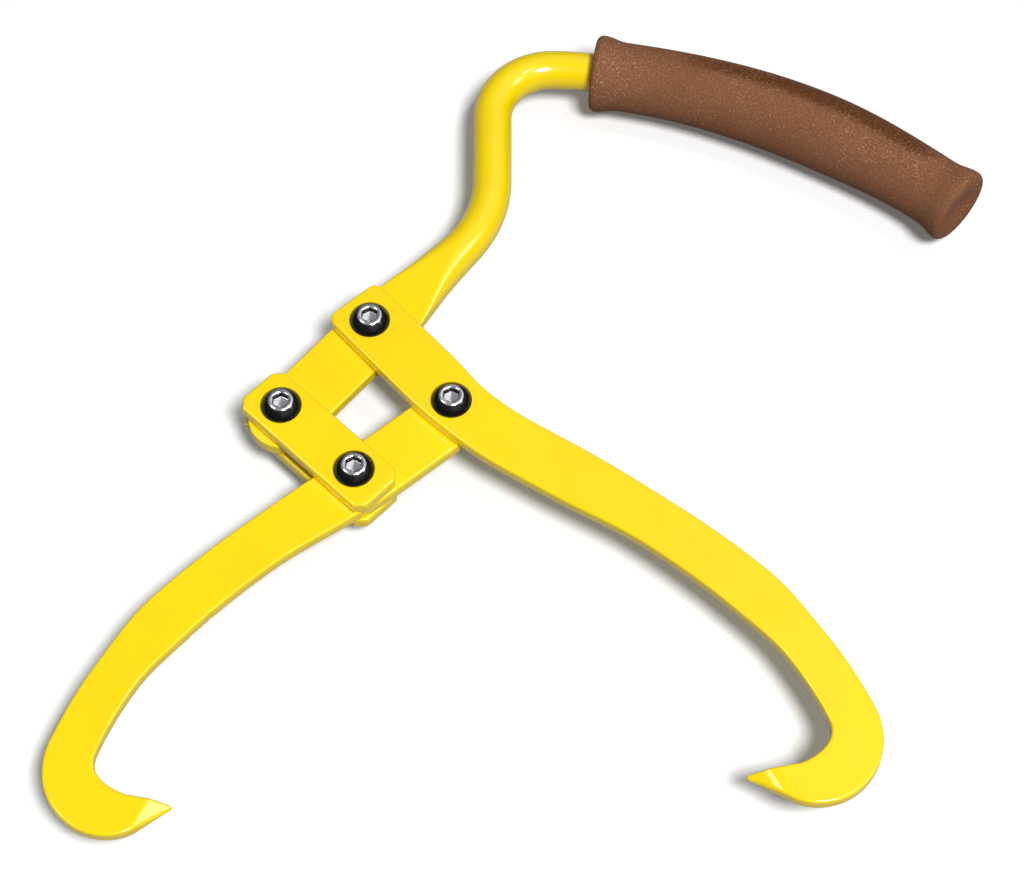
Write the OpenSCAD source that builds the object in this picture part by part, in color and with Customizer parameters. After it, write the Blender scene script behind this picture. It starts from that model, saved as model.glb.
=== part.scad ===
// Lifting tongs for logs: two hooked jaws of flat steel that cross at one pivot,
// opened and closed by a bent round handle through a pair of short links.
// Origin: centre of the underside of the lock nut at the link and left jaw pivot.
// +X runs towards the end of the grip, +Y away from the hooks, +Z up. Millimetres.

/* [Linkage] */
// Distance between the handle pivot and the jaw pivot on the right jaw
right_arm = 43; // [38:0.5:48]
// Distance between the jaw pivot and the link pivot on the left jaw
left_arm = 42; // [38:0.5:47]
// Distance between the two pivots in the flat end of the handle
handle_arm = 45; // [41:0.5:50]
// Distance between the two pivots of each link
link_arm = 35.5; // [32:0.5:40]
// Angle between the handle and the X axis as it lies
handle_heading = 49.5; // [40:0.5:60]
// Angle of the right jaw's straight end below the X axis as it lies
right_heading = 48.5; // [42:0.5:56]

/* [Plates] */
// Thickness of jaws, links and the flattened end of the handle
plate_t = 5; // [4:0.1:6]
// Running gap between two plates that turn on each other
plate_play = 0.2; // [0.1:0.05:0.4]
// Radial running clearance of a screw in a plate
pivot_clear = 0.08; // [0.05:0.01:0.1]
// Radial clearance of the screw in the links at the left jaw
link_clear = 0.9; // [0.8:0.05:1.2]

/* [Links] */
// Width of a link
link_w = 20; // [18:0.5:24]
// Length of a link past its pivot in the handle
link_tail = 11.8; // [9:0.1:13]
// Length of a link past its pivot in the left jaw
link_nose = 12.8; // [10:0.1:14]
// Leg of the cut corners of a link
link_cut = 3.2; // [1:0.25:5]

/* [Jaws] */
// Width of the straight end of a jaw
stem_w = 22.6; // [20:0.2:25]
// Width of a jaw along the arm
arm_w = 20.8; // [18:0.2:23]
// Width of a jaw between the two curves of the arm
mid_w = 18.3; // [16:0.2:20]
// Width of a jaw just above the hook
neck_w = 15.6; // [14:0.2:18]
// Width of a jaw in the bend of the hook
hook_w = 17.8; // [15:0.2:20]
// Width at the blunt end of the point
tip_w = 1.5; // [1.5:0.1:4]
// Length of the right jaw past the handle pivot
right_tail = 11; // [9:0.5:13]
// Length of the left jaw past the jaw pivot
left_tail = 10; // [9:0.5:12]
// Radius of the corners of a jaw's straight end
corner_r = 4; // [1:0.5:8]
// Distance from the start of the right jaw's knee to the jaw pivot
right_lead = 5.5; // [0:0.5:8]
// Straight length of the left jaw past the link pivot
left_lead = 0.5; // [0.5:0.5:8]
// Radius of the knee where the arm turns outwards
knee_r = 119; // [90:1:180]
// Turn of the right jaw's knee
right_knee = 16.6; // [10:0.1:22]
// Turn of the left jaw's knee
left_knee = 4.2; // [2:0.1:10]
// Straight length of the right arm after its knee
right_run = 35; // [20:0.5:45]
// Straight length of the left arm after its knee
left_run = 12.5; // [8:0.5:25]
// Distance from the right jaw's pivots to the middle of its width
right_shift = 0.9; // [0:0.1:3]
// Distance from the left jaw's pivots to the middle of its width
left_shift = 1.6; // [0:0.1:4]
// Radius of the first, flatter curve of the arm
bow_r = 288; // [200:1:350]
// Turn of the first curve of the arm
bow_turn = 10.7; // [6:0.1:16]
// Radius of the second, tighter curve of the arm
sweep_r = 137; // [110:1:170]
// Turn of the second curve of the arm
sweep_turn = 24.3; // [18:0.1:32]
// Radius of the hook along the middle of the steel
hook_r = 17; // [16:0.1:22]
// Turn of the hook
hook_turn = 122.5; // [95:0.5:130]
// Share of the hook's turn after which the steel narrows to the point
taper_from = 0.89; // [0.6:0.01:0.95]
// Straight length of the right jaw's point
right_point = 16; // [10:0.5:24]
// Straight length of the left jaw's point
left_point = 13; // [10:0.5:24]
// Length of the slope ground on the upper face at the point, along the middle
slope_len = 8.5; // [7:0.5:12]
// Angle of that slope's upper edge across the steel
slope_skew = 40; // [0:1:45]
// Thickness of the steel at the very point
point_t = 1.2; // [0.8:0.1:3]

/* [Handle] */
// Diameter of the round bar
bar_d = 14; // [12:0.2:16]
// Width of the flattened end
flat_w = 23; // [20:0.5:26]
// Distance from the pivots to the middle of the flattened end
flat_shift = 1.2; // [0:0.1:3]
// Length of the flattened end past the link pivot
flat_tail = 12.8; // [12:0.1:16]
// Length of full width past the handle pivot
flat_run = 9; // [8:0.5:14]
// Length over which the flat bar becomes round
flare_len = 42; // [34:1:50]
// Straight length from the handle pivot to the first bend
lower_run = 46.5; // [36:0.5:52]
// Radius of the first bend
lower_bend_r = 45; // [36:1:60]
// Straight length between the two bends
upright_run = 28; // [20:0.5:45]
// Radius of the second bend
upper_bend_r = 22; // [18:0.5:30]
// Turn of the second bend
upper_bend = 91.5; // [80:0.5:100]
// Straight length after the second bend
neck_run = 2; // [1:0.5:10]
// Radius of the bar where it leads into the grip
lead_r = 90; // [70:2:140]
// Turn of that lead
lead_turn = 9; // [6:0.5:16]
// Straight length between the lead and the arch
arch_gap = 12; // [1:0.5:20]
// Radius of the arched bar inside the grip
arch_r = 238; // [200:2:320]

/* [Grip] */
// Length of the grip along its middle line
grip_len = 146; // [120:1:160]
// Distance from the second bend to the grip
grip_gap = 14.5; // [12:0.5:22]
// Diameter of the flared rims
rim_d = 28.2; // [26:0.2:32]
// Diameter of the necks next to the rims
neck_d = 25.2; // [22:0.2:27]
// Diameter at the belly
belly_d = 27.8; // [25:0.2:31]
// Where the belly is, as a share of the grip's length
belly_at = 0.6; // [0.4:0.05:0.7]
// Length of the flare at each end
flare_w = 11; // [8:0.5:16]
// Rounding of the rims
rim_round = 2.4; // [1:0.2:3.5]
// Radial clearance between the bar and the grip
grip_fit = 0.05; // [0.02:0.01:0.15]
// Thickness of the closed end of the grip
grip_end = 9; // [5:0.5:14]
// Gap between the end of the bar and the closed end
end_gap = 0.2; // [0.1:0.1:1]
// Depth of the dimple in the closed end
dimple_h = 1.4; // [0.5:0.1:2.5]
// Diameter of the dimple
dimple_d = 15; // [8:0.5:19]

/* [Fasteners] */
// Diameter of the screws
screw_d = 8; // [7:0.5:8]
// Diameter of the button heads
head_d = 14; // [13:0.5:16]
// Height of the button heads
head_h = 3.8; // [3.4:0.1:4.8]
// Height of the upright edge under the dome of a head
head_edge = 0.5; // [0.2:0.1:1]
// Diameter of the flat top of a head
head_flat_d = 7.6; // [7:0.1:8.5]
// Width across flats of the socket
socket_af = 5; // [4:0.5:6]
// Depth of the socket
socket_h = 2.3; // [1.5:0.1:3]
// Play under the heads
head_play = 0.1; // [0.05:0.05:0.2]
// Distance of the screw's end inside the lock nut's outer face
end_inset = 0.1; // [0.1:0.1:1]
// Chamfer at the screw's end
end_bevel = 0.6; // [0.3:0.1:1]
// Outer diameter of the washers
washer_d = 16; // [15:0.5:18]
// Thickness of the washers
washer_t = 1.6; // [1:0.1:2]
// Radial clearance of a washer on the screw
washer_clear = 0.2; // [0.1:0.05:0.3]
// Width across flats of the lock nuts
nut_af = 13; // [12:0.5:14]
// Height of the lock nuts
nut_h = 8; // [7:0.1:10]
// Height of the hexagon of a lock nut
nut_hex_h = 6.2; // [5:0.1:6.6]
// Diameter of the collar of a lock nut
collar_d = 11.8; // [11.4:0.1:12]
// Radial clearance between screw and nut
nut_clear = 0.05; // [0.02:0.01:0.1]
// Diameter of the nylon ring
ring_d = 10.4; // [10:0.1:10.8]
// Height of the nylon ring
ring_h = 2.2; // [1.5:0.1:2.8]
// Depth of the nylon ring below the collar's face
ring_inset = 0.3; // [0.1:0.1:0.6]

/* [Hidden] */

round_fn = 64;
// How far a cutting piece reaches past what it cuts
cut_reach = 1;
yellow = "#ffe100";
brown = "#8a5c42";
black = "#1c1c1e";
zinc = "#b9bcc0";
nylon = "#e8e6da";

// Pivots from the handle pivot, then moved so that the link and left jaw pivot is the origin
function polar(r, a) = [r * cos(a), r * sin(a)];
function direction(p, q) = atan2(q.y - p.y, q.x - p.x);
// Corner of a triangle on the base from p to q, on the right of that line
function corner(p, q, from_p, from_q) =
    let (
        base = norm(q - p),
        along = (from_p * from_p - from_q * from_q + base * base) / (2 * base),
        across = sqrt(from_p * from_p - along * along),
        u = (q - p) / base
    )
    p + u * along + [u.y, -u.x] * across;
rel_link = -polar(handle_arm, handle_heading);
rel_jaw = polar(right_arm, -right_heading);
rel_end = corner(rel_link, rel_jaw, link_arm, left_arm);
handle_pivot = -rel_end;
jaw_pivot = rel_jaw - rel_end;
handle_link = rel_link - rel_end;
jaw_link = [0, 0];
left_heading = direction(jaw_pivot, jaw_link);
link_heading = direction(handle_link, jaw_link);

// Heights of the three layers of plate over the lowest lock nuts
low_z = nut_h + washer_t;
mid_z = low_z + plate_t + plate_play;
top_z = mid_z + plate_t + plate_play;
head_z = top_z + plate_t + head_play;
bar_z = mid_z + plate_t / 2;

// A path is a list of runs, each [length, turn]; a place on it is [x, y, heading]
function bend(r, turn) = [r * abs(turn) * PI / 180, turn];
function step_on(at, d, turn) =
    abs(turn) < 0.0001
    ? [at.x + d * cos(at[2]), at.y + d * sin(at[2]), at[2]]
    : let (r = d / (turn * PI / 180))
      [at.x + r * (sin(at[2] + turn) - sin(at[2])), at.y - r * (cos(at[2] + turn) - cos(at[2])), at[2] + turn];
function on_path(runs, at, s, i = 0) =
    i == len(runs) - 1 || s <= runs[i][0]
    ? step_on(at, s, runs[i][1] * s / runs[i][0])
    : on_path(runs, step_on(at, runs[i][0], runs[i][1]), s - runs[i][0], i + 1);
function total(runs, n, i = 0) = i >= n ? 0 : runs[i][0] + total(runs, n, i + 1);

// Soft blend between the values of a table of [place, value]
function ease(t) = (1 - cos(180 * min(1, max(0, t)))) / 2;
function blend(table, s, i = 0) =
    s <= table[0][0] ? table[0][1]
    : i >= len(table) - 1 ? table[i][1]
    : s <= table[i + 1][0]
    ? table[i][1] + (table[i + 1][1] - table[i][1]) * ease((s - table[i][0]) / (table[i + 1][0] - table[i][0]))
    : blend(table, s, i + 1);

// Jaw: its middle line starts at the first pivot and the widths follow it
function jaw_runs(straight, knee, run, point) = [
    [straight, 0],
    bend(knee_r, knee),
    [run, 0],
    bend(bow_r, -bow_turn),
    bend(sweep_r, -sweep_turn),
    bend(hook_r, -hook_turn),
    [point, 0]
];
stem_before = 8;
stem_after = 14;
arm_before = 18;
arm_after = 20;
mid_after = 4;
mid_fade = 26;
neck_before = 4;
hook_full = [0.52, 0.58];
// Runs of a jaw that come before its middle, its sweep, its hook, and all of them
to_middle = 3;
to_sweep = 4;
to_hook = 5;
all_runs = 7;
function jaw_widths(runs) =
    let (hook = total(runs, to_hook), turned = runs[to_hook][0])
    [
        [runs[0][0] - stem_before, stem_w],
        [runs[0][0] + stem_after, arm_w],
        [total(runs, to_middle) - arm_before, arm_w],
        [total(runs, to_middle) + arm_after, mid_w],
        [total(runs, to_sweep) + mid_after, mid_w],
        [total(runs, to_sweep) + mid_after + mid_fade, neck_w],
        [hook - neck_before, neck_w],
        [hook + turned * hook_full[0], hook_w],
        [hook + turned * hook_full[1], hook_w]
    ];
// Share of the hook over which the taper sets in, and how deep it goes there
sink_share = 0.25;
sink_depth = 0.07;
// Half the width at s, with the rounded corners of the straight end and the taper to the point
function jaw_half(runs, s, tail) =
    let (
        d = s + tail,
        taper = total(runs, to_hook) + runs[to_hook][0] * taper_from,
        full = total(runs, all_runs),
        wide = blend(jaw_widths(runs), min(s, taper)) / 2,
        round_off = d < corner_r ? corner_r - sqrt(max(0, corner_r * corner_r - (corner_r - d) * (corner_r - d))) : 0,
        sink_from = taper - runs[to_hook][0] * sink_share,
        sunk = blend([[sink_from, 0], [taper, sink_depth]], s) * (hook_w - tip_w)
    )
    s <= taper
    ? wide - round_off - sunk
    : wide - sunk + (tip_w / 2 - wide + sunk) * (s - taper) / (full - taper);
function jaw_places(runs, tail) =
    let (
        full = total(runs, all_runs),
        hook = total(runs, to_hook),
        arm_n = ceil((hook - corner_r + tail) / 3),
        hook_n = ceil((full - hook) / 1.5)
    )
    concat(
        [for (a = [0:15:75]) -tail + corner_r * (1 - cos(a))],
        [for (i = [0:arm_n - 1]) -tail + corner_r + (hook + tail - corner_r) * i / arm_n],
        [for (i = [0:hook_n]) hook + (full - hook) * i / hook_n]
    );
function jaw_outline(runs, tail) =
    let (
        start = [0, 0, 0],
        places = jaw_places(runs, tail),
        sides = [
            for (s = places)
                let (at = s < 0 ? [s, 0, 0] : on_path(runs, start, s), w = jaw_half(runs, s, tail))
                [at.x, at.y, at[2], w]
        ],
        last = sides[len(sides) - 1]
    )
    concat(
        [for (p = sides) [p.x - p[3] * sin(p[2]), p.y + p[3] * cos(p[2])]],
        [for (a = [60:-30:-60]) [last.x, last.y] + polar(tip_w / 2, last[2] + a)],
        [for (i = [len(sides) - 1:-1:0]) let (p = sides[i]) [p.x + p[3] * sin(p[2]), p.y - p[3] * cos(p[2])]]
    );
function jaw_end(runs) = on_path(runs, [0, 0, 0], total(runs, all_runs));
right_runs = jaw_runs(right_arm - right_lead, right_knee, right_run, right_point);
left_runs = jaw_runs(left_arm + left_lead, left_knee, left_run, left_point);

module at_pivot(p, z) {
    translate([p.x, p.y, z])
        children();
}

module pivot_hole(p, z, clear) {
    at_pivot(p, z - plate_play)
        cylinder(h = plate_t + 2 * plate_play, d = screw_d + 2 * clear, $fn = round_fn);
}

// Block over the slope of a point, in the jaw's own frame, with its lower face on the slope
module point_slope(runs) {
    at = jaw_end(runs);
    fall = atan2(plate_t - point_t, slope_len * cos(slope_skew));
    size = 3 * hook_w;
    translate([at.x, at.y, 0])
        rotate(at[2] + slope_skew)
            translate([0, -size / 2, point_t])
                rotate([0, fall, 0])
                    translate([-size / 2, 0, 0])
                        cube([size, size, size]);
}

module right_jaw() {
    color(yellow)
        difference() {
            translate([handle_pivot.x, handle_pivot.y, top_z])
                rotate(-right_heading)
                    translate([0, right_shift])
                        difference() {
                            linear_extrude(plate_t)
                                polygon(jaw_outline(right_runs, right_tail));
                            point_slope(right_runs);
                        }
            pivot_hole(handle_pivot, top_z, pivot_clear);
            pivot_hole(jaw_pivot, top_z, pivot_clear);
        }
}

module left_jaw() {
    color(yellow)
        difference() {
            translate([jaw_pivot.x, jaw_pivot.y, mid_z])
                rotate(left_heading)
                    translate([0, left_shift])
                        mirror([0, 1])
                            difference() {
                                linear_extrude(plate_t)
                                    polygon(jaw_outline(left_runs, left_tail));
                                point_slope(left_runs);
                            }
            pivot_hole(jaw_pivot, mid_z, pivot_clear);
            pivot_hole(jaw_link, mid_z, pivot_clear);
        }
}

// Link: a strip with its four corners cut off
module link_plate(z) {
    half = link_w / 2;
    near = -link_tail;
    far = link_arm + link_nose;
    color(yellow)
        difference() {
            translate([handle_link.x, handle_link.y, z])
                rotate(link_heading)
                    linear_extrude(plate_t)
                        polygon([
                            [near, -half + link_cut],
                            [near + link_cut, -half],
                            [far - link_cut, -half],
                            [far, -half + link_cut],
                            [far, half - link_cut],
                            [far - link_cut, half],
                            [near + link_cut, half],
                            [near, half - link_cut]
                        ]);
            pivot_hole(handle_link, z, pivot_clear);
            pivot_hole(jaw_link, z, link_clear);
        }
}

module top_link() {
    link_plate(top_z);
}

module bottom_link() {
    link_plate(low_z);
}

// Handle: the path starts beside the handle pivot and runs to the end of the bar
handle_start = [
    handle_pivot.x + flat_shift * sin(handle_heading),
    handle_pivot.y - flat_shift * cos(handle_heading),
    handle_heading
];
flat_from = flat_w / 2 - handle_arm - flat_tail;
flare_end = flat_run + flare_len;
lower_turn = 90 - handle_heading;
bar_runs = [
    [lower_run, 0],
    bend(lower_bend_r, lower_turn),
    [upright_run, 0],
    bend(upper_bend_r, -upper_bend),
    [neck_run, 0],
    bend(lead_r, -lead_turn),
    [arch_gap, 0],
    bend(arch_r, -90)
];
// Runs of the bar that come before the lead into the grip
to_lead = 4;
grip_start = total(bar_runs, to_lead) + grip_gap;
bore_end = grip_len - grip_end;
bar_end = grip_start + bore_end - end_gap;
function bar_at(s) = on_path(bar_runs, handle_start, s);

// Section of the bar as it goes from flat to round: half width, half height, squareness
flare_steps = 14;
flare_sides = 32;
flare_skin = 0.04;
flare_lap = 1;
flare_inset = 0.3;
width_fade = 1.7;
rise_from = 0.15;
rise_to = 0.8;
square_to = 0.95;
square_fade = 1.5;
round_power = 2;
square_power = 8;
function flare_section(u) = [
    bar_d / 2 + (flat_w - bar_d) / 2 * pow(1 - u, width_fade),
    plate_t / 2 + (bar_d - plate_t) / 2 * ease((u - rise_from) / (rise_to - rise_from)),
    round_power + square_power * pow(1 - ease(u / square_to), square_fade)
];
function power(v, n) = sign(v) * pow(abs(v), round_power / n);
function flare_ring(s) =
    let (
        at = bar_at(s),
        u = min(1, max(0, (s - flat_run) / flare_len)),
        sec = flare_section(u)
    )
    [
        for (k = [0:flare_sides - 1])
            let (
                a = 360 * (k + 0.5) / flare_sides,
                w = (sec[0] - flare_skin) * power(cos(a), sec[2]),
                h = (sec[1] - flare_skin) * power(sin(a), sec[2])
            )
            [at.x + w * sin(at[2]), at.y - w * cos(at[2]), bar_z + h]
    ];
// Closed skin over a list of rings with the same number of points
module skin(rings) {
    n = len(rings[0]);
    m = len(rings);
    polyhedron(
        points = [for (r = rings) for (p = r) p],
        faces = concat(
            [[for (k = [n - 1:-1:0]) k]],
            [for (i = [0:m - 2]) for (k = [0:n - 1]) [i * n + k, (i + 1) * n + (k + 1) % n, (i + 1) * n + k]],
            [for (i = [0:m - 2]) for (k = [0:n - 1]) [i * n + k, i * n + (k + 1) % n, (i + 1) * n + (k + 1) % n]],
            [[for (k = [0:n - 1]) (m - 1) * n + k]]
        ),
        convexity = 6
    );
}

// A straight piece reaches into the bends next to it and is a hair thinner, so that they join
joint_lap = 1;
joint_step = 0.06;
// Round bar along one run of the path from s, for the length d or the turn of a bend
module bar_piece(s, d, turn, r) {
    at = bar_at(s);
    side = sign(turn);
    translate([at.x, at.y, bar_z])
        rotate(at[2])
            if (turn == 0)
                rotate([0, 90, 0])
                    translate([0, 0, -joint_lap])
                        cylinder(h = d + 2 * joint_lap, d = bar_d - 2 * joint_step, $fn = round_fn);
            else
                translate([0, side * r])
                    rotate(turn > 0 ? -90 : 90 + turn)
                        rotate_extrude(angle = abs(turn), $fn = 2 * round_fn)
                            translate([r, 0])
                                circle(d = bar_d, $fn = round_fn);
}

// Round bar from the end of the flare to the end inside the grip
module round_bar() {
    rest = total(bar_runs, 2) - flare_end;
    arch = bar_end - total(bar_runs, 7);
    bar_piece(flare_end, 0, rest / (lower_bend_r * PI / 180), lower_bend_r);
    bar_piece(total(bar_runs, 2), upright_run, 0, 0);
    bar_piece(total(bar_runs, 3), 0, -upper_bend, upper_bend_r);
    bar_piece(total(bar_runs, 4), neck_run, 0, 0);
    bar_piece(total(bar_runs, 5), 0, -lead_turn, lead_r);
    bar_piece(total(bar_runs, 6), arch_gap, 0, 0);
    bar_piece(total(bar_runs, 7), 0, -arch / (arch_r * PI / 180), arch_r);
}

module handle_bar() {
    color(yellow)
        difference() {
            union() {
                translate([handle_start.x, handle_start.y, mid_z])
                    rotate(handle_heading)
                        linear_extrude(plate_t)
                            union() {
                                translate([flat_from, -flat_w / 2])
                                    square([flat_run - flat_from, flat_w]);
                                translate([flat_from, 0])
                                    circle(d = flat_w, $fn = round_fn);
                            }
                skin([
                    for (i = [-1:flare_steps + 1])
                        flare_ring(
                            i < 0 ? flat_run - flare_lap
                            : i > flare_steps ? flare_end + flare_lap
                            : flat_run + flare_inset + (flare_len - 2 * flare_inset) * i / flare_steps
                        )
                ]);
                round_bar();
            }
            pivot_hole(handle_pivot, mid_z, pivot_clear);
            pivot_hole(handle_link, mid_z, pivot_clear);
        }
}

// Grip: radius along its length, from the rim at the bar's side to the closed end
grip_sides = 24;
bore_steps = 27;
body_steps = 17;
function grip_radius(s) =
    blend(
        [
            [rim_round, rim_d / 2],
            [flare_w, neck_d / 2],
            [grip_len * belly_at, belly_d / 2],
            [grip_len - flare_w, neck_d / 2],
            [grip_len - rim_round, rim_d / 2]
        ],
        s
    );
// Places and radii from the bottom of the bore, back over the rim and out to the dimple
function grip_profile() =
    let (
        bore = (bar_d / 2 + grip_fit) / cos(180 / grip_sides),
        flat = rim_d / 2 - rim_round,
        flare = flare_w - rim_round,
        body = grip_len - 2 * flare_w
    )
    concat(
        [for (i = [bore_steps:-1:0]) [bore_end * i / bore_steps, bore]],
        [for (a = [90:-30:0]) [rim_round * (1 - sin(a)), flat + rim_round * cos(a)]],
        [for (i = [1:4]) let (s = rim_round + flare * i / 4) [s, grip_radius(s)]],
        [for (i = [1:body_steps]) let (s = flare_w + body * i / (body_steps + 1)) [s, grip_radius(s)]],
        [for (i = [0:3]) let (s = grip_len - flare_w + flare * i / 4) [s, grip_radius(s)]],
        [for (a = [0:30:90]) [grip_len - rim_round * (1 - sin(a)), flat + rim_round * cos(a)]],
        [for (a = [1:-0.25:0.25]) [grip_len - dimple_h * (1 - a * a), dimple_d / 2 * a]]
    );
function grip_ring(p) =
    let (at = bar_at(grip_start + p[0]))
    [
        for (k = [0:grip_sides - 1])
            let (a = 360 * k / grip_sides)
            [at.x + p[1] * cos(a) * sin(at[2]), at.y - p[1] * cos(a) * cos(at[2]), bar_z + p[1] * sin(a)]
    ];

module grip() {
    color(brown)
        skin([for (p = grip_profile()) grip_ring(p)]);
}

// Screw with a button head, its socket up, through plates down to the nut at floor_z
module pivot_screw(p, floor_z) {
    r = head_d / 2;
    f = head_flat_d / 2;
    rise = head_h - head_edge;
    // Centre of the dome's arc on the axis, below the edge
    c = (r * r - f * f - rise * rise) / (2 * rise);
    dome = sqrt(r * r + c * c);
    first = asin(c / dome);
    last = asin((c + rise) / dome);
    tip = floor_z + end_inset;
    color(black)
        difference() {
            union() {
                at_pivot(p, head_z)
                    rotate_extrude($fn = round_fn)
                        polygon(concat(
                            [[0, 0], [r, 0]],
                            [
                                for (i = [0:8])
                                    let (a = first + (last - first) * i / 8)
                                    [dome * cos(a), head_edge - c + dome * sin(a)]
                            ],
                            [[0, head_h]]
                        ));
                at_pivot(p, tip + end_bevel)
                    cylinder(h = head_z - tip - end_bevel + head_edge, d = screw_d, $fn = round_fn);
                at_pivot(p, tip)
                    cylinder(h = end_bevel, d1 = screw_d - 2 * end_bevel, d2 = screw_d, $fn = round_fn);
            }
            at_pivot(p, head_z + head_h - socket_h)
                rotate(30)
                    cylinder(h = head_h, d = socket_af / cos(30), $fn = 6);
        }
}

module pivot_washer(p, z) {
    color(zinc)
        at_pivot(p, z - washer_t)
            difference() {
                cylinder(h = washer_t, d = washer_d, $fn = round_fn);
                translate([0, 0, -cut_reach])
                    cylinder(h = washer_t + 2 * cut_reach, d = screw_d + 2 * washer_clear, $fn = round_fn);
            }
}

// Lock nut: hexagon against the washer, collar with a nylon ring on the outside
module pivot_nut(p, z) {
    corner_d = nut_af / cos(30);
    bevel = (corner_d - nut_af) / 2;
    outer = corner_d / 2 + cut_reach;
    ring_z = ring_h + ring_inset;
    color(zinc)
        at_pivot(p, z - washer_t - nut_h)
            difference() {
                union() {
                    intersection() {
                        translate([0, 0, nut_h - nut_hex_h])
                            cylinder(h = nut_hex_h, d = corner_d, $fn = 6);
                        rotate_extrude($fn = round_fn)
                            polygon([
                                [0, nut_h - nut_hex_h],
                                [nut_af / 2, nut_h - nut_hex_h],
                                [outer, nut_h - nut_hex_h + bevel],
                                [outer, nut_h - bevel / 2],
                                [nut_af / 2, nut_h],
                                [0, nut_h]
                            ]);
                    }
                    cylinder(h = nut_h - nut_hex_h + cut_reach, d = collar_d, $fn = round_fn);
                }
                translate([0, 0, -cut_reach])
                    cylinder(h = nut_h + 2 * cut_reach, d = screw_d + 2 * nut_clear, $fn = round_fn);
                translate([0, 0, -cut_reach])
                    cylinder(h = ring_z + cut_reach, d = ring_d, $fn = round_fn);
            }
}

module pivot_ring(p, z) {
    color(nylon)
        at_pivot(p, z - washer_t - nut_h + ring_inset)
            difference() {
                cylinder(h = ring_h, d = ring_d, $fn = round_fn);
                translate([0, 0, -cut_reach])
                    cylinder(h = ring_h + 2 * cut_reach, d = screw_d + 2 * nut_clear, $fn = round_fn);
            }
}

handle_bar();
grip();
right_jaw();
left_jaw();
top_link();
bottom_link();
pivot_screw(handle_pivot, mid_z - washer_t - nut_h);  // handle_pivot_screw
pivot_washer(handle_pivot, mid_z);  // handle_pivot_washer
pivot_nut(handle_pivot, mid_z);  // handle_pivot_nut
pivot_ring(handle_pivot, mid_z);  // handle_pivot_ring
pivot_screw(jaw_pivot, mid_z - washer_t - nut_h);  // jaw_pivot_screw
pivot_washer(jaw_pivot, mid_z);  // jaw_pivot_washer
pivot_nut(jaw_pivot, mid_z);  // jaw_pivot_nut
pivot_ring(jaw_pivot, mid_z);  // jaw_pivot_ring
pivot_screw(handle_link, low_z - washer_t - nut_h);  // handle_link_screw
pivot_washer(handle_link, low_z);  // handle_link_washer
pivot_nut(handle_link, low_z);  // handle_link_nut
pivot_ring(handle_link, low_z);  // handle_link_ring
pivot_screw(jaw_link, low_z - washer_t - nut_h);  // jaw_link_screw
pivot_washer(jaw_link, low_z);  // jaw_link_washer
pivot_nut(jaw_link, low_z);  // jaw_link_nut
pivot_ring(jaw_link, low_z);  // jaw_link_ring
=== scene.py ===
import math
import bpy
import numpy as np
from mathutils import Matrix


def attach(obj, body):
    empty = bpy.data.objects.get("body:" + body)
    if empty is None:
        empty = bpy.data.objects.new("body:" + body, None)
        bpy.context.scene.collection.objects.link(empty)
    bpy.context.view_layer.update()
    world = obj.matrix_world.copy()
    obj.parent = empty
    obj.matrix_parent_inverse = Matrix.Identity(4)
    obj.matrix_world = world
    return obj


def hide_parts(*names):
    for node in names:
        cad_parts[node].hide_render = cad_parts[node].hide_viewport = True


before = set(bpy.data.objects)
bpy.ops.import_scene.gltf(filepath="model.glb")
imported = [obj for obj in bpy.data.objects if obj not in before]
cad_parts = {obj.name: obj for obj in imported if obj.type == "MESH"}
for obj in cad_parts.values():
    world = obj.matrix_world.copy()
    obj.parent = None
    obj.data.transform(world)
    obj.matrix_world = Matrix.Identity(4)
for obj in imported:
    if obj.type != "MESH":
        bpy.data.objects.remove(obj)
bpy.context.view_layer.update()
print("frame loaded")

# All sizes below are in millimetres, from the underside of the lock nut at the left jaw's link
mm = 0.001
layout = {
    "handlePivot": (3.830, 59.024),
    "jawPivot": (32.322, 26.819),
    "handleLink": (-25.395, 24.806),
    "jawLink": (0.0, 0.0),
    "plate": 5.0,
    "lowLayer": 9.6,
    "midLayer": 14.8,
    "topLayer": 20.0,
    "barHeight": 17.3,
    "boreRadius": 4.08,
    "looseRadius": 4.9,
}


# Curves and surfaces

def arc(radius, turn):
    # A run of a path: its length is the radius times the turn in radians
    return (abs(math.radians(turn)) * radius, turn)


def pathLength(runs, count):
    # Where the first few runs of a path end
    return sum(length for length, turn in runs[:count])


def followPath(runs, start, along):
    # Straight runs and arcs laid end to end, each (length, turn in degrees). On a run of curvature k
    # the heading grows by k per millimetre, and the place is that heading's unit vector summed up.
    x, y, heading = start
    rows, done = [], 0.0
    for length, turn in runs:
        k = math.radians(turn) / length
        rows.append((done, x, y, heading, k))
        if turn:
            x += (math.sin(heading + k * length) - math.sin(heading)) / k
            y -= (math.cos(heading + k * length) - math.cos(heading)) / k
        else:
            x += length * math.cos(heading)
            y += length * math.sin(heading)
        heading += k * length
        done += length
    rows = np.array(rows)
    which = np.clip(np.searchsorted(rows[:, 0], along, side="right") - 1, 0, len(rows) - 1)
    begun, x, y, heading, k = rows[which].T
    d = along - begun
    bent = np.abs(k) > 1e-9
    safe = np.where(bent, k, 1.0)
    outX = x + np.where(bent, (np.sin(heading + k * d) - np.sin(heading)) / safe, d * np.cos(heading))
    outY = y - np.where(bent, (np.cos(heading + k * d) - np.cos(heading)) / safe, -d * np.sin(heading))
    return outX, outY, heading + k * d


def ease(t):
    # Half a cosine wave, from 0 at t = 0 to 1 at t = 1
    return (1 - np.cos(np.pi * np.clip(t, 0, 1))) / 2


def easeTable(table, along):
    # Values at given places, joined by half cosine waves
    places, values = np.array(table, float).T
    i = np.clip(np.searchsorted(places, along) - 1, 0, len(places) - 2)
    t = (along - places[i]) / (places[i + 1] - places[i])
    return values[i] + (values[i + 1] - values[i]) * ease(t)


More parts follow.
